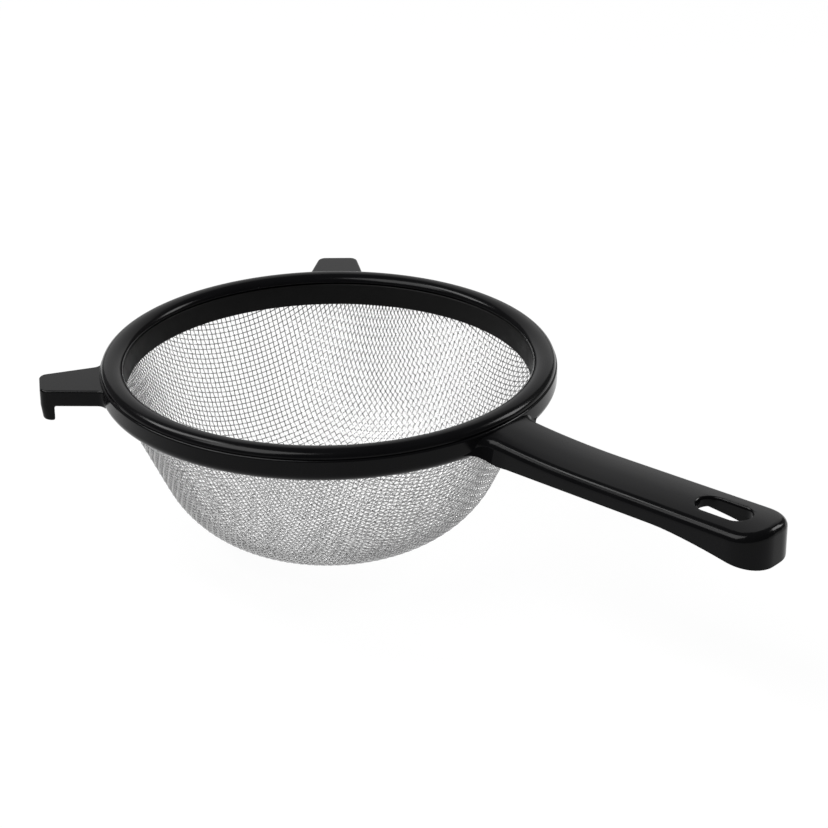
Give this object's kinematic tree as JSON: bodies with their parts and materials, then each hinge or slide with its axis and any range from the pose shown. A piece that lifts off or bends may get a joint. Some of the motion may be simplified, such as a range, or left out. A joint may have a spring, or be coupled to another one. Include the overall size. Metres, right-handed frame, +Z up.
{
  "type": "sieve",
  "caption": "Round hand sieve: a moulded rim with a long handle, a hang slot and hook ears, and a clamp ring that holds a bowl of woven steel wire.",
  "frame": {"origin": "on the bowl's axis, in the plane of the undersides of the two hook ears", "axes": "+X along the handle, +Z up out of the bowl's mouth"},
  "size_m": [0.262, 0.1578, 0.0688],
  "materials": {
    "gloss_black": "injection moulded black plastic with a polished surface",
    "satin_black": "injection moulded black plastic with a dull surface",
    "steel_wire": "bright drawn stainless wire, woven"
  },
  "bodies": {
    "root": {"frame": "gloss_black", "clamp_ring": "satin_black", "warp_wires": "steel_wire", "weft_wires": "steel_wire"}
  },
  "joints": []
}
